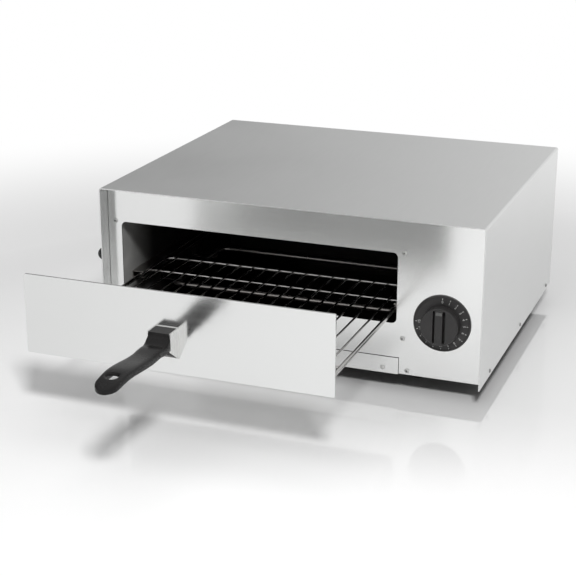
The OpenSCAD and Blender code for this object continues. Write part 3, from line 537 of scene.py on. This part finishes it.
class OVEN_OT_studio(bpy.types.Operator):
    """Sets the camera, the pale floor and the soft light"""
    bl_idname = "oven.studio"
    bl_label = "Studio"

    def execute(self, context):
        scene = context.scene
        studio = scene.oven_studio
        scene.view_settings.view_transform = "Standard"
        camera = bpy.data.objects.new("camera", bpy.data.cameras.new("camera"))
        scene.collection.objects.link(camera)
        camera.data.lens = studio.lens
        camera.data.sensor_width = SENSOR_WIDTH
        camera.matrix_world = (
            Matrix.Translation(CAMERA_PLACE)
            @ Matrix.Rotation(CAMERA_TURN, 4, "Z")
            @ Matrix.Rotation(math.pi / 2 - CAMERA_TILT, 4, "X")
            @ Matrix.Rotation(CAMERA_ROLL, 4, "Z")
        )
        scene.camera = camera
        self.world(scene, studio)
        self.floor(studio)
        self.lamps(studio)
        return {"FINISHED"}

    def world(self, scene, studio):
        """White to the camera; a room for the rest, dimmer behind the oven to the left."""
        world = bpy.data.worlds.new("studio_world")
        scene.world = world
        world.use_nodes = True
        nodes, links = world.node_tree.nodes, world.node_tree.links
        back = nodes["Background"]
        path = add_node(nodes, "ShaderNodeLightPath")
        where = add_node(nodes, "ShaderNodeTexCoord")
        across = add_node(nodes, "ShaderNodeVectorMath", operation="DOT_PRODUCT")
        across.inputs[1].default_value = ROOM_DIRECTION
        links.new(where.outputs["Generated"], across.inputs[0])
        room = add_node(nodes, "ShaderNodeMapRange", interpolation_type="SMOOTHSTEP")
        set_range(room, *studio.room)
        links.new(across.outputs["Value"], room.inputs["Value"])
        share = add_node(nodes, "ShaderNodeMapRange")
        set_range(share, 0.0, 1.0, studio.ambient)
        links.new(path.outputs["Is Glossy Ray"], share.inputs["Value"])
        lit = add_node(nodes, "ShaderNodeMath", operation="MULTIPLY")
        links.new(room.outputs["Result"], lit.inputs[0])
        links.new(share.outputs["Result"], lit.inputs[1])
        shown = add_node(nodes, "ShaderNodeMix")
        links.new(path.outputs["Is Camera Ray"], shown.inputs["Factor"])
        links.new(lit.outputs["Value"], shown.inputs["A"])
        shown.inputs["B"].default_value = 1.0
        links.new(shown.outputs["Result"], back.inputs["Strength"])
        back.inputs["Color"].default_value = (1, 1, 1, 1)

    def floor(self, studio):
        """Pale glossy floor: it takes the shadow near the oven and fades to white further off."""
        plain_view()
        bpy.ops.mesh.primitive_plane_add(size=FLOOR_SIZE, location=(0, 0, 0))
        floor = bpy.context.object
        floor.name = "floor"
        material = bpy.data.materials.new("pale_floor")
        material.use_nodes = True
        nodes, links = material.node_tree.nodes, material.node_tree.links
        nodes.clear()

        def node(kind, **values):
            return add_node(nodes, kind, **values)

        path = node("ShaderNodeLightPath")
        seen = node("ShaderNodeMath", operation="MAXIMUM")
        links.new(path.outputs["Is Camera Ray"], seen.inputs[0])
        links.new(path.outputs["Is Glossy Ray"], seen.inputs[1])
        paint = node("ShaderNodeMix", data_type="RGBA")
        paint.inputs["A"].default_value = FLOOR_BOUNCE
        paint.inputs["B"].default_value = (*studio.floor, 1)
        links.new(seen.outputs["Value"], paint.inputs["Factor"])
        matt = node("ShaderNodeBsdfDiffuse")
        links.new(paint.outputs["Result"], matt.inputs["Color"])

        where = node("ShaderNodeTexCoord")
        reach = node("ShaderNodeVectorMath", operation="LENGTH")
        links.new(where.outputs["Object"], reach.inputs[0])
        far = node("ShaderNodeMapRange", interpolation_type="SMOOTHSTEP")
        set_range(far, *studio.fade)
        links.new(reach.outputs["Value"], far.inputs["Value"])
        glow = node("ShaderNodeEmission")
        links.new(seen.outputs["Value"], glow.inputs["Strength"])
        open_floor = node("ShaderNodeMixShader")
        links.new(far.outputs["Result"], open_floor.inputs["Fac"])
        links.new(matt.outputs["BSDF"], open_floor.inputs[1])
        links.new(glow.outputs["Emission"], open_floor.inputs[2])

        gloss = node("ShaderNodeBsdfGlossy", Roughness=studio.floor_rough)
        along = node("ShaderNodeVectorMath", operation="DOT_PRODUCT")
        along.inputs[1].default_value = VIEW_DIRECTION
        links.new(where.outputs["Object"], along.inputs[0])
        near = node("ShaderNodeMapRange", interpolation_type="SMOOTHSTEP")
        set_range(near, *studio.gloss_fade, 0.0, studio.floor_gloss)
        links.new(along.outputs["Value"], near.inputs["Value"])
        parts = node("ShaderNodeSeparateXYZ")
        links.new(where.outputs["Object"], parts.inputs["Vector"])
        side = node("ShaderNodeMapRange", interpolation_type="SMOOTHSTEP")
        set_range(side, *studio.gloss_side, LEAST_SIDE_GLOSS)
        links.new(parts.outputs["X"], side.inputs["Value"])
        sheen = node("ShaderNodeMath", operation="MULTIPLY")
        links.new(near.outputs["Result"], sheen.inputs[0])
        links.new(side.outputs["Result"], sheen.inputs[1])
        close = node("ShaderNodeMath", operation="SUBTRACT", use_clamp=True)
        links.new(sheen.outputs["Value"], close.inputs[0])
        links.new(far.outputs["Result"], close.inputs[1])
        mix = node("ShaderNodeMixShader")
        links.new(close.outputs["Value"], mix.inputs["Fac"])
        links.new(open_floor.outputs["Shader"], mix.inputs[1])
        links.new(gloss.outputs["BSDF"], mix.inputs[2])
        out = node("ShaderNodeOutputMaterial")
        links.new(mix.outputs["Shader"], out.inputs["Surface"])
        floor.data.materials.append(material)

    def lamps(self, studio):
        """A broad soft light overhead and a smaller one from the front right.

        Steel mirrors the room alone, since the lamps' own mirror images would clip to white on the cover.
        """
        for name, place, wide, power in (
            ("overhead", (-0.1, -0.2, 1.9), 1.8, studio.key),
            ("front", (0.9, -1.8, 2.0), 0.4, studio.fill),
        ):
            lamp = bpy.data.lights.new(name, "AREA")
            lamp.shape = "SQUARE"
            lamp.size = wide
            lamp.energy = power
            obj = bpy.data.objects.new(name, lamp)
            bpy.context.scene.collection.objects.link(obj)
            obj.location = place
            obj.visible_glossy = False
            obj.rotation_euler = (Vector(LAMP_AIM) - Vector(place)).to_track_quat("-Z", "Y").to_euler()


STEPS = (OVEN_OT_studio, OVEN_OT_sheet_metal, OVEN_OT_fittings, OVEN_OT_plastics, OVEN_OT_dial_scale,
         OVEN_OT_screw_slots, OVEN_OT_knob_pointer)


class OVEN_PT_dresser(bpy.types.Panel):
    """Lists the steps and their settings"""
    bl_idname = "OVEN_PT_dresser"
    bl_label = "Pizza oven"
    bl_space_type = "VIEW_3D"
    bl_region_type = "UI"
    bl_category = "Pizza oven"

    def draw(self, context):
        for name in SETTINGS:
            group = getattr(context.scene, name)
            for key in group.__annotations__:
                self.layout.prop(group, key)
        for step in STEPS:
            self.layout.operator(step.bl_idname)


SETTINGS = {
    "oven_steel": SteelSettings,
    "oven_plastic": PlasticSettings,
    "oven_dial": DialSettings,
    "oven_studio": StudioSettings,
}


def register():
    for cls in (*SETTINGS.values(), *STEPS, OVEN_PT_dresser):
        bpy.utils.register_class(cls)
    for name, cls in SETTINGS.items():
        setattr(bpy.types.Scene, name, PointerProperty(type=cls))


def unregister():
    for name in SETTINGS:
        delattr(bpy.types.Scene, name)
    for cls in reversed((*SETTINGS.values(), *STEPS, OVEN_PT_dresser)):
        bpy.utils.unregister_class(cls)


def main():
    register()
    for step in STEPS:
        group, name = step.bl_idname.split(".")
        getattr(getattr(bpy.ops, group), name)()


if __name__ == "__main__":
    main()
